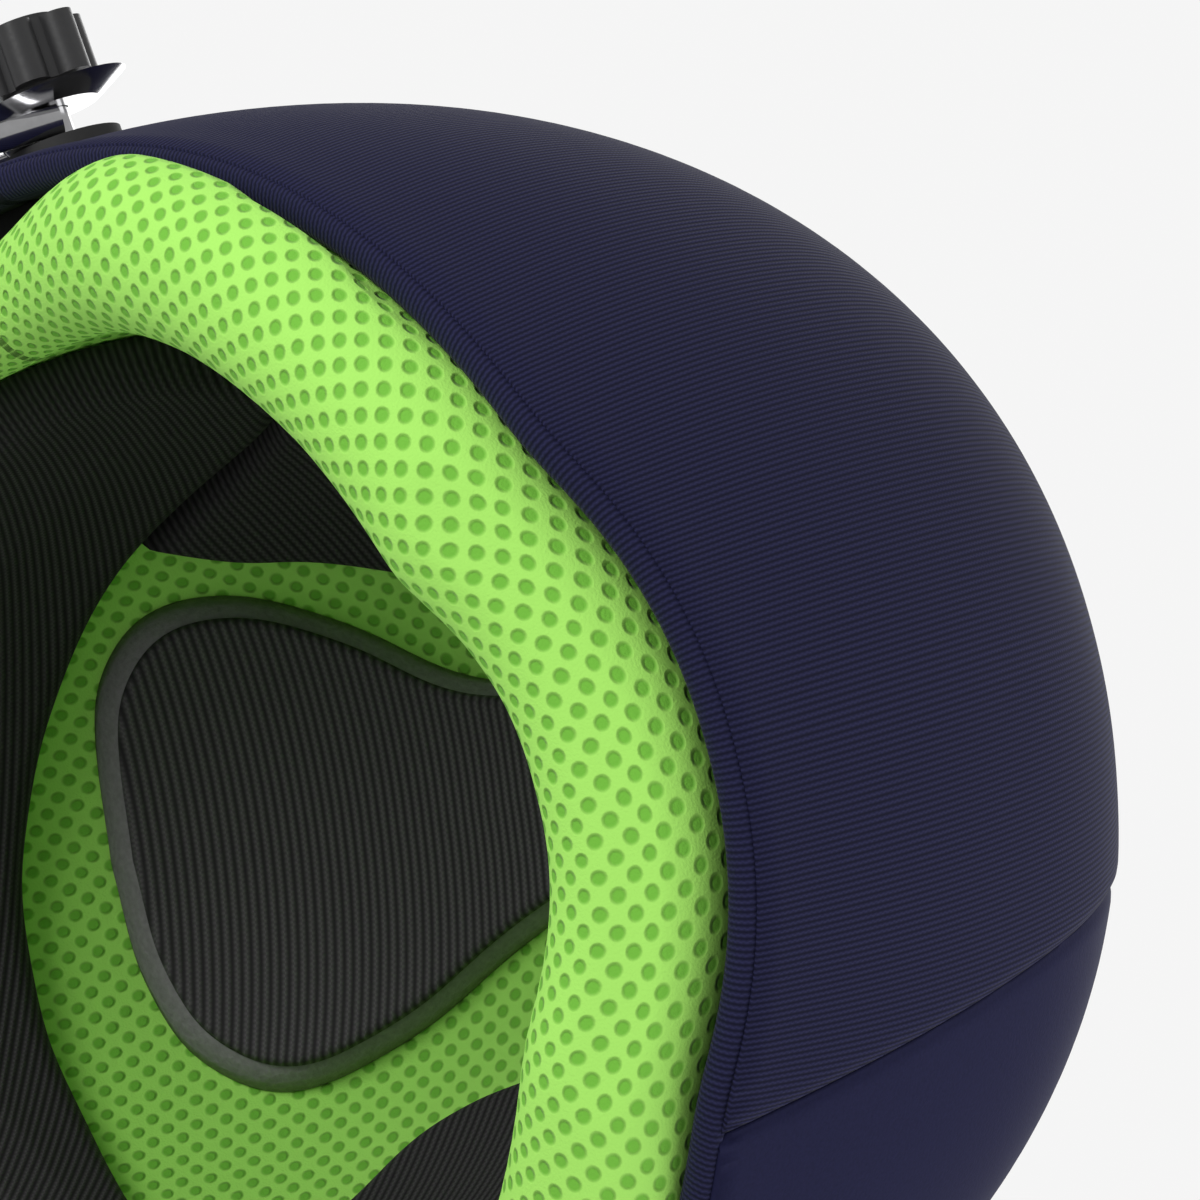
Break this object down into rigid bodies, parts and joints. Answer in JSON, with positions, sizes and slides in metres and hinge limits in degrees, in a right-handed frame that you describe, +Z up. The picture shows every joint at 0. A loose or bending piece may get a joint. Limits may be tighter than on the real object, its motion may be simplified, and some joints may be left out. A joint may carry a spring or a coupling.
{
  "type": "cricket helmet",
  "caption": "Cloth-covered cricket helmet with peak, wire face guard on knob fixings, foam lining with pads and a buckled chin strap.",
  "frame": {"origin": "middle of the bounding box, on the table under the guard's bottom bar and the rear edge", "axes": "+X to the wearer's left, +Y to the rear, +Z up; the face looks along -Y, tipped back on its guard"},
  "size_m": [0.2516, 0.3078, 0.2017],
  "materials": {
    "shell_plastic": "moulded, fine grain",
    "ribbed_knit": "fine ribbed knit, navy",
    "smooth_cloth": "smooth stretched cloth, navy",
    "liner_foam": "moulded bead foam",
    "lime_mesh": "lime spacer mesh",
    "cut_foam": "cut foam, open cells",
    "ribbed_black_fabric": "black ribbed jersey",
    "hook_tape": "hook tape",
    "steel": "bright plated wire",
    "knob_plastic": "moulded, satin",
    "seat_rubber": "matt",
    "webbing": "woven tape",
    "buckle_plastic": "moulded, satin"
  },
  "bodies": {
    "helmet": {"backing_plate_left": "steel", "backing_plate_right": "steel", "cover_ribbed_panel": "ribbed_knit", "cover_smooth_panel": "smooth_cloth", "crown_pad_face": "ribbed_black_fabric", "crown_pad_foam": "cut_foam", "cup_washer_left": "steel", "cup_washer_right": "steel", "front_pad": "ribbed_black_fabric", "guard_stud_left": "steel", "guard_stud_right": "steel", "hanger_rivet_left": "steel", "hanger_rivet_right": "steel", "hard_shell": "shell_plastic", "headband_roll": "lime_mesh", "hook_patches": "hook_tape", "impact_liner_left": "liner_foam", "impact_liner_right": "liner_foam", "mesh_lining_left": "lime_mesh", "mesh_lining_right": "lime_mesh", "peak_board": "shell_plastic", "peak_cover": "smooth_cloth", "rim_binding": "ribbed_knit", "side_pad_left": "ribbed_black_fabric", "side_pad_right": "ribbed_black_fabric", "strap_hanger_left": "knob_plastic", "strap_hanger_right": "knob_plastic", "strap_pivot_left": "steel", "strap_pivot_right": "steel", "wire_seat_left": "seat_rubber", "wire_seat_right": "seat_rubber"},
    "guard": {"guard_bar_1": "steel", "guard_bar_2": "steel", "guard_frame": "steel", "guard_front_upright_left": "steel", "guard_front_upright_right": "steel", "guard_side_upright_left": "steel", "guard_side_upright_right": "steel"},
    "knob_left": {"knob_left": "knob_plastic"},
    "knob_right": {"knob_right": "knob_plastic"},
    "chin_strap": {"buckle_plug": "buckle_plastic", "buckle_socket": "buckle_plastic", "chin_cup": "seat_rubber", "strap_eyelet_left": "steel", "strap_eyelet_right": "steel", "strap_long": "webbing", "strap_short": "webbing"},
    "strap_slider": {"strap_slider": "buckle_plastic"}
  },
  "joints": [
    {"name": "guard_tilt", "type": "hinge", "parent": "helmet", "child": "guard", "pos_m": [0, 0.01873, 0.09017], "axis": [-1, 0, 0], "range_deg": [-6, 10]},
    {"name": "knob_left_turn", "type": "hinge", "parent": "helmet", "child": "knob_left", "pos_m": [0.10901, 0.01873, 0.09017], "axis": [0.9945, -0.0965, 0.0401], "continuous": true},
    {"name": "knob_right_turn", "type": "hinge", "parent": "helmet", "child": "knob_right", "pos_m": [-0.10901, 0.01873, 0.09017], "axis": [-0.9945, -0.0965, 0.0401], "continuous": true},
    {"name": "strap_swing", "type": "hinge", "parent": "helmet", "child": "chin_strap", "pos_m": [0, -0.02441, 0.07649], "axis": [-1, 0, 0], "range_deg": [-3, 30]},
    {"name": "strap_slider_slide", "type": "slide", "parent": "chin_strap", "child": "strap_slider", "axis": [0.5697, -0.0054, -0.8218], "range_m": [-0.009, 0.012]}
  ]
}
